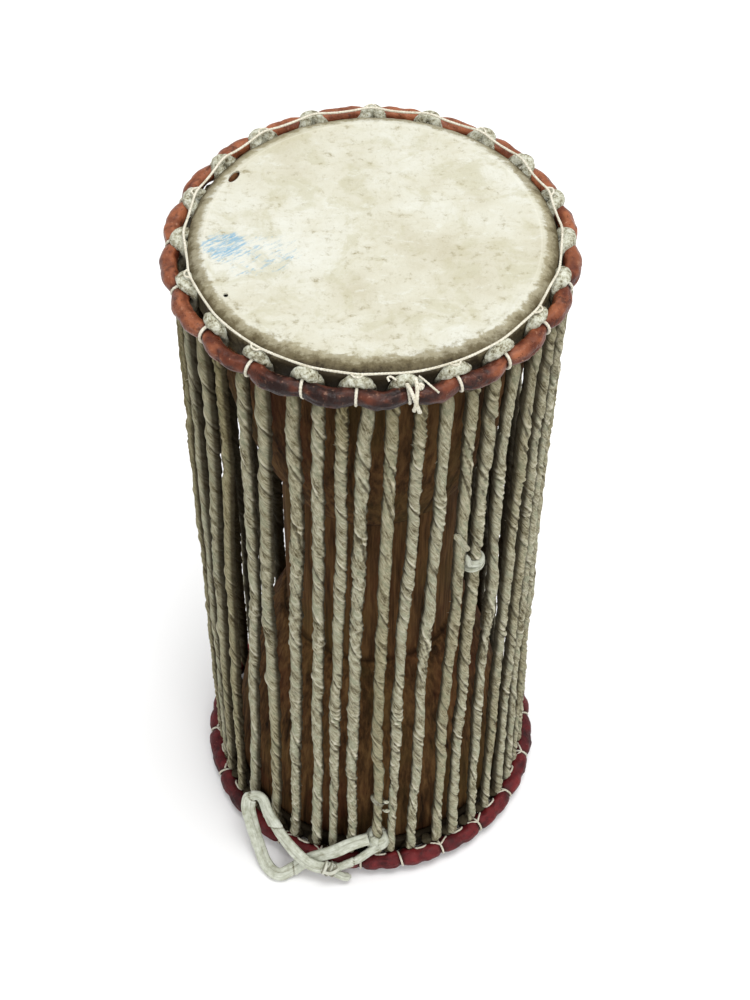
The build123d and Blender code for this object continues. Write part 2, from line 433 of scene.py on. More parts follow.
def make_lace_hide(name, high, pale, middle, dark, tint):
    """Scraped hide twisted into cord, with fibres along the strip, painted shade in the creases and on the
    sides away from the light, and painted highlights on the crests.
    """
    f = Finish(name, roughness=0.8, specular=0.12)
    strand = f.attribute("strand", vector=True)
    fibre = f.noise(f.scaled(strand, (1.0, 1.0, 0.18)), 1.2, 6, 0.75)
    blotch = f.noise(f.scaled(strand, (0.6, 0.6, 0.25)), 0.35, 5, 0.65)
    speck = f.noise(f.scaled(strand, (1, 1, 0.6)), 1.15, 6, 0.8)
    f.ramp(f.joined(fibre, 0.55, blotch, 0.5),
                  (0.41, dark), (0.475, middle), (0.55, pale), (0.65, high))
    f.wash(blotch, 0.5, 0.62, 0.65, tint)
    f.wash(speck, 0.55, 0.68, 0.7, dark)
    f.wash(speck, 0.45, 0.34, 0.6, high)
    # Painted highlights on the crests of the strip's edges and wrinkles, and painted shade in the creases
    # below them.
    fold = f.ruffled(f.attribute("fold"), speck, 0.8)
    f.wash(fold, 0.15, 1.1, 0.85, high)
    f.wash(fold, -0.1, -1.1, 0.75, (56, 47, 30))
    # Each run is darkened by a random amount, plus painted shade on the left side and just under the top
    # ring.
    tone = f.attribute("tone")
    f.cover(f.between(tone, 0.0, 1.0), f.mix(1.0, f.base, (206, 196, 168), "MULTIPLY"))
    # Painted shade on the sides of each cord away from the light, under the top ring, on the bottom loops
    # and between the parts.
    grime = f.ruffled(f.attribute("grime"), blotch, 0.7)
    f.wash(grime, 0.1, 0.95, 0.88, (52, 43, 27))
    f.relief(fibre, 0.0008, 0.8)
    f.relief(speck, 0.0006, 0.8)
    return f.done()


def make_pad_hide():
    """Loops of hide worn to pale, felty crowns, with dark grit between the fibres."""
    f = Finish("pad_hide", roughness=0.85, specular=0.12)
    place = f.place()
    fuzz = f.noise(place, 700, 5, 0.8)
    lump = f.noise(place, 300, 5, 0.7)
    strand = f.noise(f.scaled(f.attribute("strand", vector=True), (1.0, 1.0, 0.5)), 1.5, 5, 0.75)
    f.ramp(f.joined(fuzz, 0.6, lump, 0.45),
                  (0.41, (72, 64, 44)), (0.48, (146, 141, 118)), (0.54, (184, 184, 165)),
                  (0.63, (210, 211, 197)))
    f.wash(strand, 0.56, 0.70, 0.55, (112, 104, 80))
    # Painted shade where the loops go down under the ring, and on the undersides of the knot strips.
    grime = f.ruffled(f.attribute("grime"), lump, 0.5)
    f.wash(grime, 0.15, 0.9, 0.85, (56, 46, 30))
    f.relief(lump, 0.0010, 0.7)
    f.relief(fuzz, 0.0006, 0.9)
    return f.done()


def make_twine():
    f = Finish("twine_white", roughness=0.8, specular=0.15)
    place = f.place()
    fuzz = f.noise(place, 1500, 5, 0.7)
    grime = f.noise(place, 160, 4, 0.6)
    f.ramp(fuzz, (0.3, (158, 151, 128)), (0.5, (204, 199, 182)), (0.7, (228, 225, 213)))
    f.wash(grime, 0.5, 0.72, 0.5, (150, 138, 108))
    f.relief(fuzz, 0.0003, 0.7)
    return f.done()


def make_leather(name, dark, middle, light, worn, shine):
    """Thin dyed leather drawn over padding, rubbed in worn spots, with painted shade on the front and in the
    drawn-in creases, and painted light on the top, the back and the bulges that stand proud.
    """
    f = Finish(name, roughness=shine, specular=0.22)
    place = f.place()
    cloud = f.noise(place, 70, 6, 0.66)
    fine = f.noise(place, 420, 6, 0.7)
    scuff = f.noise(place, 170, 5, 0.7, 0.8)
    pores = f.node("TexVoronoi", {"Vector": place, "Scale": 1100.0})
    # The leather's values hold a random real tone with painted light over it: darker on the front, lighter
    # on the top, at the back and on bulges that stand proud.
    patina = f.ruffled(f.attribute("patina"), cloud, 1.5)
    f.ramp(patina, (0.05, dark), (0.42, middle), (0.85, light))
    f.wash(scuff, 0.54, 0.66, 0.55, dark)
    f.wash(fine, 0.57, 0.74, 0.5, worn)
    # Painted shade in the creases where the ring is drawn in at the stitches and sags between them.
    pinch = f.attribute("pinch")
    f.cover(f.times(pinch, 0.75), (34, 15, 9))
    f.wash(fine, 0.44, 0.30, 0.6, dark)
    f.roughness(fine, 0.45, shine - 0.2)
    f.relief(scuff, 0.0010, 0.5)
    f.relief(fine, 0.0005, 0.6)
    f.relief(pores, 0.00015, 0.35)
    return f.done()


def make_skin():
    """Scraped goat skin: cream, mottled with fine streaks, brown and fibrous where it bends over the rim,
    with painted shade on the front of the rim and over the bottom head, and a painted highlight along the
    bearing edge.
    """
    f = Finish("drum_skin", roughness=0.6, specular=0.12)
    place = f.place()
    cloud = f.noise(place, 20, 5, 0.6)
    vein = f.noise(f.scaled(place, (1.0, 2.2, 1.0)), 95, 7, 0.75, 0.4)
    mottle = f.noise(place, 260, 6, 0.75)
    fine = f.noise(place, 750, 6, 0.8)
    hair = f.noise(f.scaled(place, (2.6, 0.5, 1.0)), 420, 5, 0.7)
    f.ramp(cloud, (0.30, (178, 173, 152)), (0.47, (192, 190, 174)), (0.62, (200, 200, 189)))
    drift = f.noise(place, 62, 5, 0.65, 0.6)
    f.wash(drift, 0.48, 0.62, 0.45, (170, 166, 138))
    f.wash(vein, 0.52, 0.66, 0.28, (168, 160, 130))
    f.wash(vein, 0.44, 0.34, 0.40, (206, 208, 200))
    f.wash(mottle, 0.53, 0.66, 0.32, (150, 142, 114))
    f.wash(fine, 0.56, 0.70, 0.32, (140, 130, 104))
    f.wash(hair, 0.58, 0.70, 0.12, (146, 138, 112))
    rim = f.attribute("rim")
    ragged = f.ruffled(rim, vein, 1.5)
    ragged = f.ruffled(ragged, mottle, 1.6)
    # A painted highlight along the ridge of the bearing edge.
    f.wash(rim, -0.05, -0.45, 0.8, (212, 210, 196))
    # The brown band is the skin's own stain over the rim, deepened into painted shade on the front of the
    # rim and over the bottom head.
    f.wash(ragged, 0.12, 0.6, 0.8, (128, 119, 90))
    f.wash(ragged, 0.6, 1.15, 0.85, (82, 72, 48))
    f.wash(ragged, 1.1, 1.7, 0.9, (38, 29, 17))
    paint = f.attribute("paint")
    turned = f.node("Mapping", {"Vector": place, "Rotation": (0.0, 0.0, radians(-38))})
    streak = f.noise(f.scaled(turned, (0.45, 1.9, 1.0)), 420, 6, 0.8, 0.3)
    wet = f.between(f.ruffled(paint, streak, 4.6), 0.6, 1.35)
    wet = f.times(wet, f.between(paint, 0.0, 0.35))
    f.cover(f.times(wet, 0.8), (104, 152, 180))
    f.roughness(fine, 0.4, 0.4)
    f.relief(vein, 0.0008, 0.4)
    f.relief(mottle, 0.0005, 0.6)
    f.relief(fine, 0.0003, 0.6)
    return f.done()


def make_wood():
    """Hand-carved hardwood, grain upright, stained by handling."""
    f = Finish("carved_wood", roughness=0.85, specular=0.05)
    place = f.place()
    streak = f.noise(f.scaled(place, (1, 1, 0.05)), 420, 7, 0.68, 0.3)
    broad = f.noise(f.scaled(place, (1, 1, 0.10)), 110, 5, 0.6, 0.4)
    patch = f.noise(f.scaled(place, (1, 1, 0.5)), 26, 4, 0.6)
    f.ramp(f.joined(streak, 0.6, broad, 0.45),
                  (0.38, (32, 21, 11)), (0.50, (76, 53, 31)), (0.62, (108, 79, 48)),
                  (0.78, (132, 102, 66)))
    f.wash(patch, 0.50, 0.66, 0.45, (90, 74, 40))
    f.wash(patch, 0.46, 0.34, 0.45, (84, 46, 30))
    # Darker in the cracks, with painted shade along the step at each end of the waist.
    f.cover(f.times(f.attribute("crease"), 0.9), (26, 17, 9))
    f.relief(streak, 0.0009, 0.7)
    f.relief(broad, 0.002, 0.5)
    return f.done()


def make_strap_hide():
    """Folded raw hide: grey-cream, waxy, with painted shade in its creases, along the cut edges of its plies
    and on its underside, and painted highlights on its lap edges.
    """
    f = Finish("strap_hide", roughness=0.6, specular=0.25)
    strand = f.attribute("strand", vector=True)
    fibre = f.noise(f.scaled(strand, (1.0, 1.0, 0.16)), 1.2, 6, 0.7)
    blotch = f.noise(strand, 0.25, 5, 0.65)
    fine = f.noise(strand, 2.2, 5, 0.75)
    f.ramp(f.joined(fibre, 0.45, blotch, 0.55),
                  (0.36, (144, 144, 122)), (0.48, (182, 185, 168)), (0.60, (205, 208, 195)),
                  (0.76, (226, 228, 218)))
    f.wash(fine, 0.58, 0.72, 0.4, (142, 136, 108))
    fold = f.attribute("fold")
    # Painted highlights on the lap edges, and painted shade in the creases and along the ply seams.
    f.cover(f.between(fold, 0.0, 1.0), (226, 224, 212))
    f.wash(fold, 0.0, -1.0, 0.85, (88, 80, 56))
    # Painted shade on the underside of each strip.
    f.wash(f.attribute("grime"), 0.2, 1.0, 0.75, (96, 90, 66))
    f.roughness(fine, 0.4, 0.4)
    f.relief(fibre, 0.0006, 0.6)
    f.relief(fine, 0.0003, 0.6)
    return f.done()


def make_plain_fibre(name, dark, middle, pale, stretch):
    """Cane or dried grass, streaked along the hoop's turn."""
    f = Finish(name, roughness=0.7, specular=0.3)
    place = f.place()
    streak = f.noise(f.scaled(place, stretch), 700, 6, 0.7)
    cloud = f.noise(place, 60, 4, 0.6)
    f.ramp(streak, (0.35, dark), (0.5, middle), (0.68, pale))
    f.wash(cloud, 0.5, 0.7, 0.4, dark)
    f.relief(streak, 0.0006, 0.7)
    return f.done()


lace_hide = make_lace_hide(
    "lace_hide", (218, 213, 192), (176, 172, 147), (134, 128, 102), (76, 66, 44), (124, 130, 102)
)
loop_hide = make_pad_hide()
twine_white = make_twine()
top_leather = make_leather(
    "top_leather", (30, 13, 9), (92, 45, 28), (148, 88, 58), (194, 148, 120), 0.30
)
bottom_leather = make_leather(
    "bottom_leather", (34, 7, 9), (86, 18, 22), (114, 34, 35), (142, 78, 72), 0.5
)
drum_skin = make_skin()
carved_wood = make_wood()
strap_hide = make_strap_hide()
cane = make_plain_fibre("cane", (120, 88, 48), (172, 136, 84), (204, 172, 118), (1, 1, 4))
grass = make_plain_fibre(
    "grass_padding", (104, 92, 50), (160, 144, 88), (196, 182, 126), (0.4, 0.4, 3)
)


# ---------------------------------------------------------------- lace runs
def hide_place(lap, s, shift=0.0, side_shift=0.0):
    """Where each point of a cord lies in the hide it is cut from, for the materials."""
    turn = 2 * pi * lap
    return points_at(2.8 * np.cos(turn) + shift, 2.8 * np.sin(turn) + side_shift, s[:, None])


def oval(turn, half, other_half):
    return 1 / np.sqrt((np.cos(turn) / half) ** 2 + (np.sin(turn) / other_half) ** 2)


def cord_folds(here, lap, round_front, paired, pick, seed):
    """Changes of reach, and marks for the material's painted highlights and shade, where the strip's edges
    and wrinkles lie on a cord.
    """
    shape = 0.05 * np.cos(4 * pi * lap) * (1 - paired[:, None])
    marks, s = 0 * here, here[:, 0]
    for k, place in enumerate((0.06, 0.38, 0.71)):
        strength = smooth(1.6 * ripple(s, 24, seed + 20 + k) + 0.05)[:, None]
        off = (lap - place - 0.06 * ripple(s, 15, seed + 26 + k)[:, None] + 0.5) % 1 - 0.5
        crest = bump(off, 0, 0.045)
        crease = bump(off, 0.085, 0.04)
        shape = shape + strength * (0.10 * crest - 0.16 * crease)
        marks = marks + strength * (0.8 * crest - 1.2 * crease)
    for _ in range(pick.integers(8, 15)):
        centre, angle, slope = pick.uniform(6, 345), pick.normal(0, 1.0), pick.uniform(1.6, 5.0)
        height_of, width = pick.uniform(0.04, 0.14), pick.uniform(0.7, 1.1)
        beside = (round_front - angle + pi) % (2 * pi) - pi
        off = here - centre + slope * beside
        near = bump(beside, 0, pick.uniform(0.7, 1.3))
        crest = bump(off, 0, width) * near
        crease = bump(off, 1.9 * width, 0.8 * width) * near
        recover = np.exp(-np.clip(off, 0, 40) / 5.0) * (off > 0) * near
        shape = shape + height_of * (crest - 1.1 * crease - 0.5 * recover)
        marks = marks + (0.4 + 5 * height_of) * (crest - 1.3 * crease)
    if pick.random() < 0.35:
        start = pick.uniform(20, 320)
        for j in range(pick.integers(2, 5)):
            off = here - start - 3.3 * j + 0.7 * round_front
            crest, crease = bump(off, 0, 1.2), bump(off, 1.7, 0.55)
            shape = shape + 0.07 * crest - 0.10 * crease
            marks = marks + 0.5 * crest - 1.0 * crease
    return shape, marks


def add_run(piece, index, side, seed):
    """One length of twisted hide cord from behind the top ring to behind the bottom one."""
    pick = np.random.default_rng(seed)
    spacing = 0.7
    z = np.arange(height - 11.0, 10.9, -spacing)
    s = z[0] - z
    line = run_line(index, side, z)
    _, out, across = outward_frame(line)
    ends = smooth((z - 14) / 24) * smooth((height - 14 - z) / 24)
    tuck = smooth((z - (height - 15)) / 5) + smooth((15 - z) / 5)
    line = line + across * (ends * (0.6 * ripple(s, 46, seed + 1) + 0.35 * ripple(s, 13, seed + 2)))[:, None]
    line = line + out * (ends * 0.4 * ripple(s, 37, seed + 3) - 1.3 * tuck)[:, None]

    coarse = pick.uniform(-0.4, 0.35) + 0.3 * max(cos(radians(loop_angle(index) + 35)), 0)
    rough = smooth(0.25 + coarse + 0.7 * ripple(s, 44, seed + 5))
    paired = smooth(1.6 * ripple(s, 60, seed + 6) - 0.35) * (1 - 0.6 * rough)
    pitch = pick.uniform(24, 38) * np.exp(0.35 * ripple(s, 50, seed + 7))
    phase = np.cumsum(2 * pi / pitch) * spacing + pick.uniform(0, 2 * pi)

    lap = np.arange(24) / 24
    turn = 2 * pi * lap - phase[:, None]
    facing = np.cos(turn)
    round_front = (turn + pi) % (2 * pi) - pi
    here = s[:, None] + 0 * lap

    shape, marks = cord_folds(here, lap, round_front, paired, pick, seed)
    valley = np.abs(np.cos(2 * pi * lap)) ** 0.8
    strands = 0.22 * paired[:, None] * (valley - 0.62)
    marks = marks - 1.1 * paired[:, None] * np.clip(1 - valley / 0.45, 0, 1)
    crumple = grain(round_front / (2 * pi) * 5 + 20, here / 3.4, seed + 15)
    fine = crust(lap, s, 9, 1.5, seed + 16)
    tufted = crust(lap, s, 12, 1.4, seed + 10)
    shag = (0.035 + 0.16 * rough[:, None]) * tufted
    girth = lace_radius * pick.uniform(0.88, 1.04) * (1.15 if index in rear_runs else 1.0)
    girth = girth * (1 + 0.10 * ripple(s, 24, seed + 11) + 0.07 * ripple(s, 8, seed + 12) - 0.10 * tuck)
    girth = girth * (1 - 0.12 * smooth((s - 200) / 120))
    reach = girth[:, None] * np.clip(1 + shape + strands + 0.055 * crumple + 0.035 * fine + shag, 0.6, 1.3)
    rings = ring_points(line, out, across, reach, turn)

    marks = marks + (0.15 + 0.55 * rough[:, None]) * tufted + 0.3 * crumple
    strand = hide_place(lap, s, 31.0 * (seed % 17), 17.0 * (seed % 13))
    # Painted shade: the runs are darker on the left side, just under the top ring and towards the front
    # right, and each cord is darker on the sides turned away from the outside.
    shadow = max(cos(radians(loop_angle(index) - 200)), 0)
    tone = pick.uniform(-0.4, 0.6) + 0.5 * shadow + 0.3 * ripple(s, 90, seed + 13)[:, None]
    ring_shadow = np.exp(-s / 38.0)[:, None]
    tone = tone + 0.5 * ring_shadow
    shaded = 0.22 * ring_shadow + 0.16 * shadow + 0.14 * max(cos(radians(loop_angle(index) + 22)), 0)
    grime = smooth(0.76 + 0.1 * shadow - 0.88 * facing) + shaded
    piece.tube(rings, strand=strand, fold=np.clip(marks, -1.3, 1.3), tone=tone, grime=grime)

    for _ in range(pick.integers(3, 7) + int(8 * max(coarse, 0))):
        add_fibre(piece, line, out, across, girth, pick, strand)


def add_fibre(piece, line, out, across, girth, pick, strand):
    """A thin hide fibre standing off the cord."""
    i = pick.integers(12, len(line) - 12)
    angle = pick.uniform(0, 2 * pi)
    radial = cos(angle) * out[i] + sin(angle) * across[i]
    lean = pick.uniform(-0.6, 0.6) * np.cross(out[i], across[i]) + pick.uniform(-0.9, 0.9) * (
        -sin(angle) * out[i] + cos(angle) * across[i]
    )
    length = pick.uniform(0.8, 1.9)
    root = line[i] + radial * girth[i] * 0.75
    t = np.linspace(0, 1, 5)[:, None]
    path = root + radial * length * t + lean * length * t**2
    first, second = carried_frame(path, out[i] + 0.31 * across[i] + 0.2)
    turn = np.arange(4) * pi / 2
    reach = (0.22 * (1 - 0.85 * t)) + 0 * turn
    rings = ring_points(path, first, second, reach, turn + 0 * t)
    # A painted highlight over each fibre.
    piece.tube(rings, strand=np.broadcast_to(strand[i, 0], (5, 4, 3)), fold=0.5, tone=0.0)


def build_runs():
    for index in range(loop_count):
        side, place = moving_loops.get(index, (None, index + 1))
        if side:
            upper, lower = f"{side}_lace_upper_{place}", f"{side}_lace_lower_{place}"
            piece = Piece(f"{side}_hairpin_{place}", (upper, lower))
        else:
            piece = Piece(f"hairpin_{place:02d}", (f"lace_runs_{place:02d}",))
        for way in (-1, 1):
            add_run(piece, index, way, 40 * index + 20 * (way + 1) + 11)
        if index == 9:
            add_splice_strand(piece)
        if side:
            obj = piece.build(lace_hide, body=None)
            centre = run_line(index, 0, np.array([mid]))[0] * MM
            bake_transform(obj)
        else:
            piece.build(lace_hide)


# ---------------------------------------------------------------- lace loops
def add_loop(piece, angle, top, seed):
    """A fat loop of hide between the skin and the padded ring, lapping onto the ring except in front."""
    pick = np.random.default_rng(seed)
    width = pick.uniform(3.5, 4.3)
    lean = pick.uniform(-0.6, 0.6)
    over = smooth((abs(turn_between(angle, -85)) - 40) / 70) if top else 0.3
    crown = pick.uniform(1.5, 2.1) + (1.7 * over if top else 1.6)
    reach_out = 76.5 + 2.4 * over + pick.uniform(-0.2, 0.2)
    foot = 78.5 * radians(lace_half_pitch)
    half_way = [
        (foot, 0, 14.5, 78.2),
        (foot - 0.2, 0, 11.5, 76.6),
        (width + 1.3, 0, 8.2, 75.3),
        (width * 0.95, lean, 4.6, 76.0),
        (width * 0.4, lean, crown + 0.2, reach_out),
    ]
    way = [(shift - aside, depth, radius) for aside, shift, depth, radius in half_way]
    way += [(shift + aside, depth, radius) for aside, shift, depth, radius in half_way[::-1]]
    flat = through(way, 0.55)
    tangential, depth, radius = flat.T
    level = height - depth if top else depth
    line = around(radius, angle + np.degrees(tangential / 78.0), level)
    _, out, across = outward_frame(line)
    lap = np.arange(24) / 24
    s = travel(line)
    turn = 2 * pi * lap - (s * 2 * pi / 26)[:, None]
    fat = 2.7 + 0.8 * over
    radial_half = np.interp(depth, [2.4, 4.6, 6.5, 8.2, 10.5, 14.5], [fat, 2.4, 1.5, 1.15, 1.8, 2.7])
    tangential_half = np.interp(depth, [2.4, 5.0, 14.5], [2.5, 2.8, 2.6])
    reach = oval(turn, radial_half[:, None], tangential_half[:, None])
    lump = crust(lap, s, 12, 1.1, seed)
    reach = reach * (1 + 0.11 * lump + 0.09 * crust(lap, s, 5, 3.6, seed + 1))
    rings = ring_points(line, out, across, reach, turn)
    deep = smooth((depth - 4.0) / 5)[:, None]
    strand = hide_place(lap, s, 9.0 * (seed % 19))
    # Painted shade where each top loop goes down under the ring, and over the whole of each bottom loop.
    piece.tube(
        rings, strand=strand, fold=0.6 * lump - (0.0 if top else 1.0), grime=0.9 * deep if top else 1.0
    )
    if top:
        plug = [(lean, crown + 6.6, 75.8), (lean, crown + 3.4, 76.2), (lean, crown + 0.9, reach_out)]
        tangential, depth, radius = through(plug, 0.5).T
        line = around(radius, angle + np.degrees(tangential / 78.0), height - depth)
        _, out, across = outward_frame(line)
        turn = 2 * pi * lap + 0 * tangential[:, None]
        half = np.interp(depth - crown, [0.9, 6.6], [2.1, 1.3])[:, None]
        reach = oval(turn, half, width * 0.8) * (1 + 0.08 * crust(lap, depth, 12, 1.1, seed + 3))
        # A little painted shade over the plug.
        piece.tube(
            ring_points(line, out, across, reach, turn),
            strand=points_at(3 * np.cos(turn), 3 * np.sin(turn), depth[:, None]),
            grime=0.25,
        )


def build_loops():
    for top, name, angles in (
        (True, "top_lace_loops", [loop_angle(i) for i in range(loop_count)]),
        (False, "bottom_lace_loops", [bottom_loop_angle(i) for i in range(loop_count)]),
    ):
        piece = Piece(name)
        for i, angle in enumerate(angles):
            add_loop(piece, angle, top, 900 + 60 * i + (0 if top else 7))
        piece.build(loop_hide if top else lace_hide)


build_loops()


# ---------------------------------------------------------------- padded rings
def build_ring(name, top, pinches, dents, material, seed):
    """A padded leather ring, drawn in at every stitch and fat between them, over its grass core."""
    radius, tube = top_ring if top else bottom_ring
    angle = np.arange(-180, 180, 0.4)
    far, from_dent = [
        np.min([np.abs(turn_between(angle, place)) for place in places], axis=0) * ring_mm_per_degree
        for places in (pinches, dents)
    ]
    pinch, dent = bump(far, 0, 1.7), bump(from_dent, 0, 2.4)
    closing = smooth((angle + 180) / 12) * smooth((180 - angle) / 12)
    wander = ripple(angle, 29, seed) * closing
    bulge = smooth(far / 9.0)
    if top:
        shift = 2.2 * bulge - 1.5 - 1.0 * np.cos(np.radians(angle)) + 0.35 * wander
        rise = 0.35 * wander
    else:
        shift = 0.6 * bulge - 0.3 + 0.3 * wander
        rise = 0.15 * wander
    level = height - ring_depth if top else ring_depth
    line = around(radius + shift, angle, level + rise)
    out = around(1.0, angle, 0.0)
    up = np.broadcast_to([0.0, 0.0, 1.0], out.shape)
    turn = 2 * pi * np.arange(48) / 48
    here = angle[:, None] + 0 * turn
    swell = (0.05 * ripple(angle, 17, seed + 1) + 0.04 * ripple(angle, 5, seed + 2)) * closing
    front = bump(turn_between(angle, -97), 0, 34.0)
    tight, sag = (0.15, 0.06) if top else (0.30, 0.16)
    reach = tube * (1.04 + (0.08 * front if top else 0.02) - tight * pinch - sag * dent + swell)[:, None]
    lap = turn / (2 * pi) * 12 + 0 * here
    crease = grain(here / 0.8, lap, seed + 3, 450) * (0.012 + 0.07 * pinch + 0.03 * dent)[:, None]
    folds = grain(here / 6.0, lap * 0.75, seed + 4, 60) * 0.07
    folds = folds + grain(here / 2.4, lap * 1.5, seed + 6, 150) * 0.045
    folds = folds - 0.05 * np.abs(grain(here / 4.0, lap / 3 * 2, seed + 7, 90)) ** 0.5
    reach = reach * (1 + crease + folds)
    rings = ring_points(line, out, up, reach, turn + 0 * here)
    # Painted shade on the front of the top ring and painted light towards its back; the bottom ring gets a
    # random tone.
    if top:
        patina = 0.60 - 0.46 * front + 0.12 * np.cos(np.radians(angle - 100))
    else:
        patina = 0.42 + 0.1 * ripple(angle, 25, seed + 5)
    piece = Piece(name)
    piece.tube(
        rings,
        joined=True,
        # Painted light on the top of the tube and on the bulges of its folds.
        patina=patina[:, None] + 0.10 * np.sin(turn) + 2.2 * folds,
        # Painted shade in the drawn-in creases.
        pinch=np.clip(1.15 * pinch + 0.35 * dent, 0, 1)[:, None] ** 1.5,
    )
    obj = piece.build(material)
    core = Piece(name.replace("cover", "core"))
    inner = tube * (0.66 - 0.05 * pinch)[:, None] * (1 + 0.05 * grain(here / 2.4, lap, seed + 8, 150))
    core.tube(ring_points(line, out, up, inner, turn + 0 * here)[:, ::2], joined=True)
    core.build(grass)


top_angles = [loop_angle(i) for i in range(loop_count)]
bottom_angles = [bottom_loop_angle(i) for i in range(loop_count)]
top_middles, bottom_middles = [
    [a + turn_between(b, a) / 2 for a, b in zip(angles, angles[1:] + angles[:1])]
    for angles in (top_angles, bottom_angles)
]
build_ring("top_ring_cover", True, top_angles, top_middles, top_leather, 301)
build_ring("bottom_ring_cover", False, bottom_angles, bottom_middles, bottom_leather, 401)


# ---------------------------------------------------------------- twine
def add_twine(piece, line, radius, side=(0.1, 0.2, 1.0), ply=2.6, squash=1.0):
    """Two-ply twine along a line."""
    first, second = carried_frame(line, side)
    lap = np.arange(12) / 12
    s = travel(line)
    turn = 2 * pi * lap + 0 * s[:, None]
    reach = radius * (1 + 0.14 * np.cos(2 * (turn - (2 * pi * s / ply)[:, None])))
    reach = reach * (1 + 0.06 * ripple(s, 3.1, int(abs(line[0, 0]) * 7))[:, None])
    piece.tube(ring_points(line, first, second, reach, turn, squash))


def build_hem_twine(name, top):
    """Twine round the hem, pulled straight from loop to loop, with a turn of it over every loop's crown."""
    piece = Piece(name)
    angles = sorted((top_angles if top else bottom_angles), key=lambda a: a % 360)
    level = (lambda d: height - d) if top else (lambda d: d + 2.2)
    corners = []
    for i, angle in enumerate(angles):
        gap = (angles[(i + 1) % len(angles)] - angle) % 360
        slack = 0.3 * scatter(i, 1, 5)
        over_crown = [(75.6, -1.1, -0.95), (75.7, 0.9, -0.95)]
        to_next = [(74.9 + slack, gap * 0.36, -0.2), (74.8 + slack, gap * 0.66, -0.2)]
        corners += [around(radius, angle + turn, level(d)) for radius, turn, d in over_crown + to_next]
        if i % 2:
            steps = [(75.6, 1.8, -0.9), (77.4, 0.7, -1.1), (77.2, -0.8, -1.1), (75.6, -1.9, -0.9)]
            bight = [around(radius, angle + turn, level(d)) for radius, turn, d in steps]
            add_twine(piece, through(bight, 0.4), 0.4)
    line = evenly(np.array(corners + corners[:1]), 0.6)
    padded = np.vstack([line[-9:-1], line, line[1:9]])
    line = np.column_stack([np.convolve(padded[:, k], np.ones(9) / 9, "same") for k in range(3)])[8:-8]
    add_twine(piece, line, 0.5)
    piece.build(twine_white)


build_hem_twine("top_hem_twine", True)
build_hem_twine("bottom_hem_twine", False)


def over_ring(angle, top, start, stop, gap, slant=0.0, count=26, inward=0.0):
    """A line bent over a ring's section, between angles measured from outwards to the head's face."""
    radius, tube = top_ring if top else bottom_ring
    turn = np.radians(np.linspace(start, stop, count))
    drift = slant * np.linspace(-0.5, 0.5, count)
    reach = tube * (0.96 if top else 0.76) + gap
    rise = reach * np.sin(turn)
    level = height - ring_depth + rise if top else ring_depth - rise
    return around(radius - inward + reach * np.cos(turn), angle + drift, level)


def beside_ring(angle, steps, shift=0.0):
    """Points near the bottom ring, as steps outwards, round and up from its centre line."""
    return [around(bottom_ring[0] + out, angle + turn + shift, ring_depth + up) for out, turn, up in steps]


def build_stitches():
    piece = Piece("top_ring_stitches")
    for i, angle in enumerate(top_angles):
        pick = np.random.default_rng(70 + i)
        inward = 1.8 + cos(radians(angle))
        slant = pick.uniform(-1.6, 1.6)
        gap = 0.35 if abs(turn_between(angle, -75)) < 75 else 0.1
        add_twine(piece, over_ring(angle, True, 150, -95, gap, slant, inward=inward), 0.62)
    piece.build(twine_white)
    piece = Piece("bottom_ring_stitches")
    for i, (angle, middle) in enumerate(zip(bottom_angles, bottom_middles)):
        pick = np.random.default_rng(170 + i)
        slant = pick.uniform(-2.0, 2.0)
        add_twine(piece, over_ring(angle, False, -150, 80, 0.35, slant, inward=0.3), 0.5)
        for way in (-1, 1):
            if pick.random() < 0.6:
                steps = [(-2.2, way * 3.3, 3.9), (-0.9, way * 1.7, 4.1), (0.4, way * 0.2, 3.7)]
                add_twine(piece, through(beside_ring(angle, steps), 0.5), 0.45)
        shift = pick.uniform(-0.6, 0.6)
        dash = [(-2.4, -2.4, 3.2), (-1.6, -1.2, 4.0), (-1.5, 1.2, 4.0), (-2.4, 2.4, 3.2)]
        add_twine(piece, through(beside_ring(middle, dash, shift), 0.5), 0.5)
    piece.build(twine_white)


build_stitches()


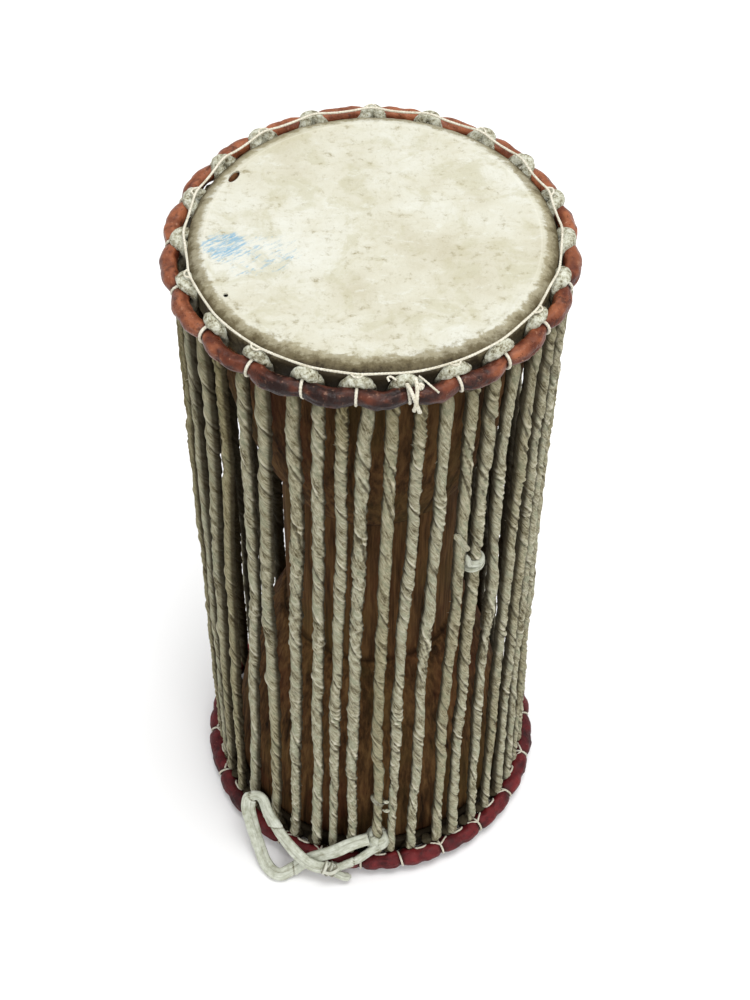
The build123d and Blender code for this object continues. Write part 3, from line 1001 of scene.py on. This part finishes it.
# ---------------------------------------------------------------- heads
def build_head(name, top):
    face = np.r_[np.linspace(0.4, 64, 56), np.linspace(64.6, 74.2, 26)]
    bends, sinks = [0, 62, 65.5, 67.5, 69.2, 71.5, 73.2, 74.2], [0.55, 0.5, 0.42, 0.12, 0.45, 1.2, 2.3, 3.7]
    sunk = np.convolve(np.pad(np.interp(face, bends, sinks), 2, "edge"), np.ones(5) / 5, "valid")
    radii = np.r_[face, np.full(14, head_radius), 73.6, 72.4, 71.2]
    depth = np.r_[sunk, np.linspace(4.2, 12.2, 14), 12.6, 12.7, 12.6]
    angle = np.arange(0, 360, 1.5)
    turn = np.radians(angle)
    across = radii[:, None] * np.cos(turn)
    back = radii[:, None] * np.sin(turn)
    seed = 51 if top else 57
    inside = smooth((72 - radii) / 12)[:, None]
    wave = 0.22 * grain(across / 26, back / 26, seed) + 0.10 * grain(across / 9, back / 9, seed + 1)
    rim_wave = 0.22 * grain(across / 3.4, back / 3.4, seed + 2)
    lift = wave * inside + rim_wave * smooth((radii - 66) / 4)[:, None]
    level = depth[:, None] - lift
    sign = height - level if top else level
    outer = points_at(across, back, sign)
    thickness = 0.9
    turned_in = np.arange(len(radii)) > 95
    shrink = np.where(turned_in, 0.2, np.interp(radii, [0, 66, 70, 74], [0, 0, 0.3, 1.0]))
    under = np.interp(radii, [0, 70, 74], [1.0, 0.9, 0.1]) * thickness
    under = np.where(turned_in, -thickness, under)
    inner_radii = np.maximum(radii - shrink * thickness, 0.3)
    inner_level = level + under[:, None]
    inner_level = height - inner_level if top else inner_level
    inner = points_at(inner_radii[:, None] * np.cos(turn), inner_radii[:, None] * np.sin(turn), inner_level)
    rings = np.concatenate([outer, inner[::-1]])
    # The rim values hold the skin's own brown band round the rim, with painted shade on the front and a
    # painted highlight on the bearing-edge ridge.
    front = bump(turn_between(angle, -93), 0, 42.0)
    places = [0, 61, 64.5, 66.2, 67.4, 68.6, 70.5, 72.5, 74.2, 75]
    around_rim = np.interp(radii, places, [0, 0, 0, 0.14, -0.4, 0.35, 0.95, 1.4, 1.9, 2.2])
    front_rim = np.interp(radii, places, [0, 0.04, 0.26, 0.5, 0.72, 1.0, 1.3, 1.55, 1.9, 2.2])
    rim = (1 - front) * 0.62 * around_rim[:, None] + front * front_rim[:, None]
    paint = 0 * across
    if top:
        for x, y, wide, long, strength in ((-58.5, -7.0, 10.0, 9.0, 1.0), (-47.0, -10.5, 18.0, 12.5, 0.6)):
            patch = 1.5 - (((across - x) / wide) ** 2 + ((back - y) / long) ** 2)
            paint = np.maximum(paint, strength * np.clip(patch, 0, 1))
    else:
        # Painted shade over the whole bottom head.
        rim = rim + 0.9
    piece = Piece(name)
    piece.tube(
        rings, rim=np.concatenate([rim, rim[::-1] * 0 + 0.3]), paint=np.concatenate([paint, 0 * paint])
    )
    obj = piece.build(drum_skin, body=None)
    if top:
        for x, y, wide, long, lean in ((-57.2, 33.9, 1.6, 3.7, -0.5), (-57.1, -33.6, 0.95, 1.05, 0.0)):
            bpy.ops.mesh.primitive_cylinder_add(vertices=24, radius=1, depth=6 * MM)
            cutter = bpy.context.object
            cutter.matrix_world = (
                Matrix.Translation((x * MM, y * MM, height * MM))
                @ Matrix.Rotation(lean, 4, "Z")
                @ Matrix.Diagonal((wide * MM, long * MM, 1, 1))
            )
            bpy.context.view_layer.update()
            cut = obj.modifiers.new("hole", "BOOLEAN")
            cut.object = cutter
            cut.solver = "EXACT"
            bpy.context.view_layer.objects.active = obj
            bpy.ops.object.modifier_apply(modifier=cut.name)
            bpy.data.objects.remove(cutter)
    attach(obj, "root")
    return obj


build_head("top_head", True)
build_head("bottom_head", False)


# ---------------------------------------------------------------- shell
def build_shell():
    def curve(points, spacing):
        return evenly(np.array([(r, z, 0) for r, z in points], float), spacing)[:, :2]

    def mirrored(points):
        return points + [(r, height - z) for r, z in points[-2::-1]]

    def arc(a, b, c, count=24):
        """Points on the circle through three."""
        (ax, ay), (bx, by), (cx, cy) = a, b, c
        d = 2 * (ax * (by - cy) + bx * (cy - ay) + cx * (ay - by))
        a2, b2, c2 = ax**2 + ay**2, bx**2 + by**2, cx**2 + cy**2
        ux = (a2 * (by - cy) + b2 * (cy - ay) + c2 * (ay - by)) / d
        uy = (a2 * (cx - bx) + b2 * (ax - cx) + c2 * (bx - ax)) / d
        reach = np.hypot(ax - ux, ay - uy)
        start, end = [atan2(y - uy, x - ux) for x, y in (a, c)]
        sweep = (end - start + pi) % (2 * pi) - pi
        t = start + sweep * np.linspace(0, 1, count)
        return [(ux + reach * np.cos(v), uy + reach * np.sin(v)) for v in t]

    outside = [(67.6, 0.95), (69.3, 0.95), (70.4, 2.6)] + arc((70.2, 10), (62, 75), (44.5, 131))
    outside += [(43.2, 131.8), (43.2, 133.4), (41.8, 134.0), (41.0, 136.0), (41.0, 188.0)]
    inside = [(66.5, 3.0)] + arc((65.5, 12), (55.4, 76), (36.5, 126)) + [(33.0, 136.0), (33.0, 188.0)]
    outer, inner = curve(mirrored(outside), 1.8), curve(mirrored(inside)[::-1], 4.0)
    angle = np.arange(0, 360, 1.2)
    profile = np.concatenate([outer, inner])
    radius = np.repeat(profile[:, :1], len(angle), 1)
    level = profile[:, 1:2]
    is_outer = (np.arange(len(profile)) < len(outer))[:, None]
    spin = angle / 360
    facets = 0.35 * grain(spin * 34 + 0 * level, level / 17, 81, 34) + 0.16 * grain(
        spin * 90 + 0 * level, level / 8, 82, 90
    )
    crease = np.zeros_like(radius)
    for place, low, high, width in (
        (-112, 150, 245, 1.0), (-78, 40, 110, 0.9), (-60, 200, 300, 1.1), (-131, 60, 120, 0.9),
        (20, 120, 220, 1.0), (95, 230, 330, 1.0), (160, 30, 140, 1.0), (-98, 262, 318, 0.9),
    ):
        off = turn_between(angle, place) + 1.6 * ripple(level, 24, place)
        crease = crease + bump(off, 0, width) * smooth((level - low) / 14) * smooth((high - level) / 14)
    # Painted shade along the step at each end of the waist; the cracks are darker too.
    line = bump(level, 133.6, 1.2) + bump(height - level, 133.6, 1.2)
    within = smooth((level - 8) / 10) * smooth((height - 8 - level) / 10)
    radius = radius + is_outer * (facets * within - 0.9 * crease)
    rings = around(radius, angle, level)
    piece = Piece("shell")
    piece.tube(rings, joined=True, crease=np.clip(crease + 0.8 * line, 0, 1) * is_outer)
    piece.build(carved_wood)


build_shell()


# ---------------------------------------------------------------- knots, ties and the carrying strap
def add_thong(
    piece, line, width, thickness, side, seed, laps=(), roll=None, taper=(0, 0), dull=0.0, pale=0.0
):
    """A flat strip of hide along a line: half width, half thickness, and laps where a ply ends."""
    up, across = carried_frame(line, side)
    s = travel(line)
    if roll is not None:
        turned = np.radians(np.interp(s / s[-1], *roll))[:, None]
        c, q = np.cos(turned), np.sin(turned)
        up, across = up * c + across * q, across * c - up * q
    lap = np.arange(24) / 24
    turn = 2 * pi * lap + 0 * s[:, None]
    ends = np.ones_like(s)
    if taper[0]:
        ends = ends * (0.35 + 0.65 * smooth(s / taper[0]))
    if taper[1]:
        ends = ends * (0.35 + 0.65 * smooth((s[-1] - s) / taper[1]))
    half_wide = width * ends * (1 + 0.08 * ripple(s, 14, seed) + 0.04 * ripple(s, 4, seed + 1))
    half_thick = thickness * ends * (1 + 0.10 * ripple(s, 9, seed + 2))
    c, q = np.cos(turn), np.sin(turn)
    power = 3.2
    reach = np.abs(c / half_thick[:, None]) ** power + np.abs(q / half_wide[:, None]) ** power
    reach = reach ** (-1 / power)
    x = reach * q
    here = s[:, None] + 0 * lap
    marks = 0 * here
    step = 0 * here
    for place in laps:
        off = here - place + 0.55 * x
        before, after = np.exp(np.minimum(off, 0) / 9.0), np.exp(-off / 5.0)
        step = step + 0.13 * before * (off < 0) - 0.05 * after * (off >= 0)
        marks = marks + 0.5 * bump(off, -0.6, 0.5) - 1.1 * bump(off, 0.4, 0.45)
    rough = crust(lap, s, 9, 2.6, seed + 4)
    seam_at = width * (0.35 + 0.15 * ripple(s, 40, seed + 5))[:, None]
    ply = np.where((x > seam_at) & (c > 0), 1.0, 0.0)
    seam = bump(x, seam_at, 0.3) * (c > 0)
    dimple = crust(lap, s, 3, 7.0, seed + 6)
    reach = reach * (1 + step) - thickness * (0.16 * ply - 0.04 * rough - 0.10 * dimple)
    rings = ring_points(line, up, across, reach, turn)
    marks = marks - 0.55 * seam + 0.15 * rough
    strand = points_at(3 * c + 7.0 * (seed % 11), 3 * q, here)
    # Painted highlights on lap edges and painted shade in creases and seams; painted shade on the side
    # facing away from the light, with dull adding an even amount more; pale lightens the whole strip.
    piece.tube(rings, strand=strand, fold=marks + pale, tone=0.0, grime=smooth(-1.3 * c - 0.1) + dull)


def run_frame(index, side, z):
    """A place on a run and the directions up it, outwards and sideways."""
    line = run_line(index, side, np.array([z + 1.0, z, z - 1.0]))
    along, out, across = outward_frame(line)
    return line[1], -along[1], out[1], across[1]


def placed(centre, ways, steps):
    """Points at steps along three ways from a centre."""
    return [centre + a * ways[0] + b * ways[1] + c * ways[2] for a, b, c in steps]


def build_splice_knot():
    """Two turns of hide drawn tight round a spliced run, meeting in a crease in front."""
    centre, up, out, across = run_frame(8, -1, 241.5)
    piece = Piece("splice_knot")
    middle = centre + 0.8 * across
    t = np.linspace(0, 2 * pi, 60)[:, None]
    for rise, tilt, seed in ((1.5, 0.16, 1), (-1.5, -0.22, 2)):
        sway = 4.0 * np.sin(t)
        line = middle + 3.7 * np.cos(t) * out + sway * across + (rise + tilt * sway) * up
        # Even painted shade over each turn.
        add_thong(piece, evenly(line, 0.7), 1.55, 1.2, out, 600 + seed, dull=0.3)
    steps = [(2.6, 3.0, 1.6), (3.4, 4.6, 4.0), (3.2, 5.4, 7.4), (2.4, 6.0, 10.4)]
    stub = through(placed(middle, (out, across, up), steps), 0.6)
    # Even painted shade over the stub.
    add_thong(piece, stub, 1.2, 0.9, out, 611, taper=(0, 3), dull=0.4)
    piece.build(strap_hide)


def add_splice_strand(piece):
    """The spliced end, laid slantwise over the neighbouring run."""
    radii, angles = [79.4, 80.2, 80.3, 79.5, 78.4], [-63.9, -62.9, -61.2, -59.4, -58.4]
    way = around(radii, angles, [270.8, 268, 262.5, 257, 253.5])
    add_thong(piece, through(way, 0.6), 1.5, 0.9, around(1.0, -63, 0.0), 617, taper=(2, 3), pale=0.35)


def build_low_knot():
    """A lap of hide drawn slantwise round a run, with its two cut ends."""
    centre, up, out, across = run_frame(10, -1, 62.0)
    piece = Piece("low_lace_knot")
    t = np.linspace(0, 2 * pi, 50)[:, None]
    line = centre + 2.75 * (np.cos(t) * out + np.sin(t) * across) + 3.0 * np.sin(t) * up
    # Even painted shade over the lap.
    add_thong(piece, evenly(line, 0.6), 1.1, 0.45, out, 621, dull=0.55)
    for rise, reach in ((1.0, 5.4), (-7.4, 5.8)):
        steps = [(1.2, -2.2, rise - 0.6), (2.0, -3.6, rise - 0.2), (2.4, -reach, rise + 0.3)]
        end = through(placed(centre, (out, across, up), steps), 0.4)
        add_thong(piece, end, 1.1, 0.8, out, 624 + int(reach), taper=(2, 1), pale=0.4)
    piece.build(loop_hide)


def build_twine_tie():
    """Where the hem twine is tied off: a hide thong and two twine ends over the ring at the front."""
    piece = Piece("twine_knot")

    def at(radius, turn, depth):
        return around(radius, loop_angle(10) + turn, height - depth)

    for spacing, radius, steps in (
        (0.5, 0.42, [(76.5, 3.4, 1.0), (79.0, 4.6, 1.2), (82.0, 6.0, 2.0), (84.6, 7.4, 3.2)]),
        (0.5, 0.8, [(77, 2.2, 1), (80.6, 2.2, 2.4), (84.4, 1.6, 3.4), (86.5, 1, 6.2), (86.4, 0.6, 8.8)]),
        (0.5, 0.8, [(77, -1, 1), (81, 0.2, 2.6), (84.8, 0.8, 3.6), (86.8, 1.5, 6.8), (87, 2, 9.6)]),
        (0.4, 0.42, [(77.2, -3.0, 1.1), (76.2, -4.6, -0.2), (77.0, -5.6, -0.6), (78.2, -5.2, 0.2)]),
    ):
        add_twine(piece, through([at(*step) for step in steps], spacing), radius)
    for tilt in (0.0, 1.1, 2.2):
        t = np.linspace(0, 2 * pi, 30)[:, None]
        centre = at(80.4, 3.2, 2.5)
        first = np.array([cos(tilt), sin(tilt), 0.2])
        second = np.array([-sin(tilt) * 0.3, cos(tilt) * 0.3, 1.0])
        add_twine(piece, centre + 0.95 * (np.cos(t) * first + np.sin(t) * second), 0.5)
    piece.build(twine_white)


def build_strap_wrap():
    """The strap's end taken round a lace run as a broad rounded band, open at the top like a cup."""
    centre, up, out, across = run_frame(10, -1, 26.6)
    piece = Piece("strap_wrap")
    t = np.linspace(0, 2 * pi, 90)[:, None]
    line = centre + 4.35 * (np.cos(t) * out + np.sin(t) * across) - 1.1 * np.cos(t) * up
    add_thong(piece, evenly(line, 0.6), 5.0, 1.4, out, 633, laps=(7.0, 20.5))
    return piece.build(strap_hide)


def build_strap():
    line = evenly(strap_points, 0.6)
    piece = Piece("tail_strap")
    add_thong(
        piece, line, 3.4, 1.35, (0.15, -0.75, 0.65), 640, laps=(46.0, 104.0, 128.0),
        roll=([0, 0.2, 0.45, 0.6, 0.8, 1.0], [0, -10, 25, 30, 10, 0]),
    )
    strap = piece.build(strap_hide)

    piece = Piece("strap_return")
    way = [(-18, -87.6, 10), (-12.6, -87, 12.4), (-6.2, -86, 16.2), (-0.8, -84.6, 20.8), (4.2, -83.4, 25.4)]
    # Even painted shade over the return strand.
    add_thong(piece, through(way), 2.5, 1.2, (0.3, -0.9, 0.3), 651, laps=(11.0,), dull=0.25)
    back = piece.build(strap_hide)

    piece = Piece("strap_end")
    way = [(-19.0, -88.6, 8.4), (-15.4, -89.4, 6.4), (-12.4, -89.8, 5.2), (-9.2, -89.6, 5.0)]
    add_thong(piece, through(way, 0.5), 2.3, 1.2, (0, 0, 1), 655, taper=(0, 2.0))
    end = piece.build(strap_hide)

    piece = Piece("tail_knot")
    heart, axis = np.array([-20.4, -88.0, 10.4]), unit(np.array([1.0, -0.05, -0.30]))
    first = unit(np.cross(axis, [0.0, 0.0, 1.0]))
    second = np.cross(first, axis)
    t = np.linspace(0, 2 * pi * 2.7, 170)[:, None]
    coil = heart + axis * (t / (2 * pi) - 1.35) * 2.5 + 2.9 * (np.cos(t) * first + np.sin(t) * second)
    add_thong(piece, evenly(coil, 0.5), 1.35, 1.0, axis, 660, pale=0.45)
    ways = (axis, first, second)
    steps = [(-3.6, 1.6, 0), (-2.2, 3.6, 1.6), (0, 4.0, 2.2), (2.4, 2.8, 3.2), (3.8, 0.4, 2.0)]
    add_thong(piece, through(placed(heart, ways, steps), 0.5), 1.3, 0.9, first, 662, pale=0.45)
    for k, (shift, high) in enumerate(((-1.6, 6.4), (0.2, 6.0), (1.4, 5.4))):
        steps = [(shift, 1, 2.6), (shift + 0.5, 0, high * 0.75), (shift - 0.4, 0, high)]
        wisp = through(placed(heart, ways, steps), 0.5)
        add_thong(piece, wisp, 0.5, 0.4, first, 664 + k, taper=(0, 2), pale=0.5)
    tight = piece.build(strap_hide)
    return strap, [tight, back, end]


build_runs()
build_splice_knot()
build_low_knot()
build_twine_tie()
wrap = build_strap_wrap()
strap, knotted = build_strap()

# ---------------------------------------------------------------- parts that stay as the CAD made them
for name in ("top_flesh_hoop", "bottom_flesh_hoop"):
    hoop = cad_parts[name]
    hoop.data.materials.clear()
    hoop.data.materials.append(cane)


# ---------------------------------------------------------------- floor and light
def make_floor():
    f = Finish("floor", roughness=0.85, specular=0.1)
    soft = f.noise(f.place(), 3.0, 3, 0.5)
    f.ramp(soft, (0.3, (0.95, 0.95, 0.95, 1)), (0.7, (0.97, 0.97, 0.97, 1)))
    mesh = bpy.data.meshes.new("floor")
    half, level = 4.0, -0.0005
    corners = [(x * half, y * half, level) for x, y in ((-1, -1), (1, -1), (1, 1), (-1, 1))]
    mesh.from_pydata(corners, [], [(0, 1, 2, 3)])
    mesh.materials.append(f.done())
    floor = bpy.data.objects.new("floor", mesh)
    scene.collection.objects.link(floor)


def add_light(name, place, size, power, target=(0, 0, 0.2)):
    light = bpy.data.lights.new(name, "AREA")
    light.shape = "DISK"
    light.size = size
    light.energy = power
    lamp = bpy.data.objects.new(name, light)
    scene.collection.objects.link(lamp)
    lamp.location = place
    lamp.rotation_euler = (Vector(target) - Vector(place)).to_track_quat("-Z", "Y").to_euler()


make_floor()
add_light("overhead", (0.25, -0.1, 2.2), 1.3, 30)
add_light("front", (0.7, -1.9, 1.5), 1.2, 14)
world = bpy.data.worlds.new("studio")
world.use_nodes = True
world.node_tree.nodes["Background"].inputs["Color"].default_value = (1, 1, 1, 1)
world.node_tree.nodes["Background"].inputs["Strength"].default_value = 0.78
scene.world = world
